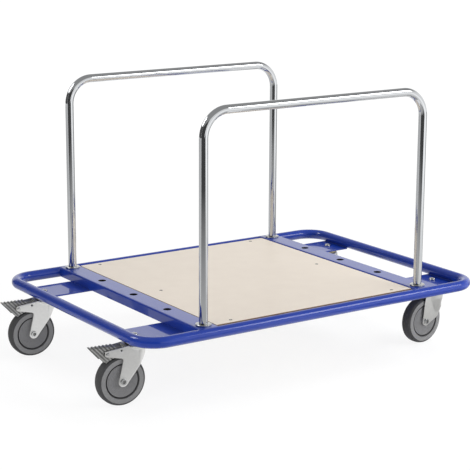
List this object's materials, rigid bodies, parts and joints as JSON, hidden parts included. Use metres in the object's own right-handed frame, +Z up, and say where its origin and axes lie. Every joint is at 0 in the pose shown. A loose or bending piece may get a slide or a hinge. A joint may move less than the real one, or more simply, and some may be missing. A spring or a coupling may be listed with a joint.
{
  "type": "sheet goods cart",
  "caption": "Low platform cart: bent tube frame with a board deck on swivelling castors, socket rows at both ends and lift-out tube hoops that hold sheet goods upright.",
  "frame": {"origin": "on the floor under the middle of the whole outline, pedals included", "axes": "+X along the cart from the braked end to the plain end, +Y across to the far side, +Z up"},
  "size_m": [1.115, 0.74, 0.719],
  "materials": {
    "blue_paint": "glossy blue powder coat",
    "deck_laminate": "pale laminate on a board core",
    "bright_zinc": "bright zinc plate",
    "matte_zinc": "matte zinc plate",
    "yellow_zinc": "zinc plate with a faint yellow cast",
    "pedal_steel": "dull pressed steel",
    "wheel_plastic": "grey moulded plastic",
    "grey_rubber": "grey non-marking rubber"
  },
  "bodies": {
    "base": {"frame_tube": "blue_paint", "deck_board": "deck_laminate", "cross_member_left": "blue_paint", "cross_member_right": "blue_paint", "castor_plate_left_near": "blue_paint", "king_bolt_left_near": "bright_zinc", "swivel_head_left_near": "yellow_zinc", "castor_plate_left_far": "blue_paint", "king_bolt_left_far": "bright_zinc", "swivel_head_left_far": "yellow_zinc", "castor_plate_right_near": "blue_paint", "king_bolt_right_near": "bright_zinc", "swivel_head_right_near": "yellow_zinc", "castor_plate_right_far": "blue_paint", "king_bolt_right_far": "bright_zinc", "swivel_head_right_far": "yellow_zinc"},
    "hoop_near": {"hoop_near": "bright_zinc", "hoop_foot_near_left": "bright_zinc", "hoop_foot_near_right": "bright_zinc"},
    "hoop_far": {"hoop_far": "bright_zinc", "hoop_foot_far_left": "bright_zinc", "hoop_foot_far_right": "bright_zinc"},
    "swivel_left_near": {"fork_left_near": "matte_zinc", "axle_bolt_left_near": "matte_zinc", "axle_nut_left_near": "matte_zinc", "pivot_pin_left_near": "pedal_steel"},
    "wheel_left_near": {"wheel_centre_left_near": "wheel_plastic", "tyre_left_near": "grey_rubber"},
    "pedal_left_near": {"brake_pedal_left_near": "pedal_steel"},
    "swivel_left_far": {"fork_left_far": "matte_zinc", "axle_bolt_left_far": "matte_zinc", "axle_nut_left_far": "matte_zinc", "pivot_pin_left_far": "pedal_steel"},
    "wheel_left_far": {"wheel_centre_left_far": "wheel_plastic", "tyre_left_far": "grey_rubber"},
    "pedal_left_far": {"brake_pedal_left_far": "pedal_steel"},
    "swivel_right_near": {"fork_right_near": "matte_zinc", "axle_bolt_right_near": "matte_zinc", "axle_nut_right_near": "matte_zinc"},
    "wheel_right_near": {"wheel_centre_right_near": "wheel_plastic", "tyre_right_near": "grey_rubber"},
    "swivel_right_far": {"fork_right_far": "matte_zinc", "axle_bolt_right_far": "matte_zinc", "axle_nut_right_far": "matte_zinc"},
    "wheel_right_far": {"wheel_centre_right_far": "wheel_plastic", "tyre_right_far": "grey_rubber"}
  },
  "joints": [
    {"name": "hoop_near_lift", "type": "slide", "parent": "base", "child": "hoop_near", "axis": [0, 0, 1], "range_m": [0, 0.06]},
    {"name": "hoop_far_lift", "type": "slide", "parent": "base", "child": "hoop_far", "axis": [0, 0, 1], "range_m": [0, 0.06]},
    {"name": "swivel_left_near_turn", "type": "hinge", "parent": "base", "child": "swivel_left_near", "pos_m": [-0.43751, -0.234, 0.151], "axis": [0, 0, 1], "continuous": true},
    {"name": "wheel_left_near_spin", "type": "hinge", "parent": "swivel_left_near", "child": "wheel_left_near", "pos_m": [-0.47637, -0.2306, 0.0625], "axis": [-0.0872, -0.9962, 0], "continuous": true},
    {"name": "pedal_left_near_press", "type": "hinge", "parent": "swivel_left_near", "child": "pedal_left_near", "pos_m": [-0.51671, -0.22707, 0.1365], "axis": [-0.0872, -0.9962, 0], "range_deg": [0, 8]},
    {"name": "swivel_left_far_turn", "type": "hinge", "parent": "base", "child": "swivel_left_far", "pos_m": [-0.43751, 0.234, 0.151], "axis": [0, 0, 1], "continuous": true},
    {"name": "wheel_left_far_spin", "type": "hinge", "parent": "swivel_left_far", "child": "wheel_left_far", "pos_m": [-0.47637, 0.2374, 0.0625], "axis": [-0.0872, -0.9962, 0], "continuous": true},
    {"name": "pedal_left_far_press", "type": "hinge", "parent": "swivel_left_far", "child": "pedal_left_far", "pos_m": [-0.51671, 0.24093, 0.1365], "axis": [-0.0872, -0.9962, 0], "range_deg": [0, 8]},
    {"name": "swivel_right_near_turn", "type": "hinge", "parent": "base", "child": "swivel_right_near", "pos_m": [0.50248, -0.234, 0.151], "axis": [0, 0, 1], "continuous": true},
    {"name": "wheel_right_near_spin", "type": "hinge", "parent": "swivel_right_near", "child": "wheel_right_near", "pos_m": [0.46363, -0.2374, 0.0625], "axis": [0.0872, -0.9962, 0], "continuous": true},
    {"name": "swivel_right_far_turn", "type": "hinge", "parent": "base", "child": "swivel_right_far", "pos_m": [0.50248, 0.234, 0.151], "axis": [0, 0, 1], "continuous": true},
    {"name": "wheel_right_far_spin", "type": "hinge", "parent": "swivel_right_far", "child": "wheel_right_far", "pos_m": [0.46363, 0.2306, 0.0625], "axis": [0.0872, -0.9962, 0], "continuous": true}
  ]
}
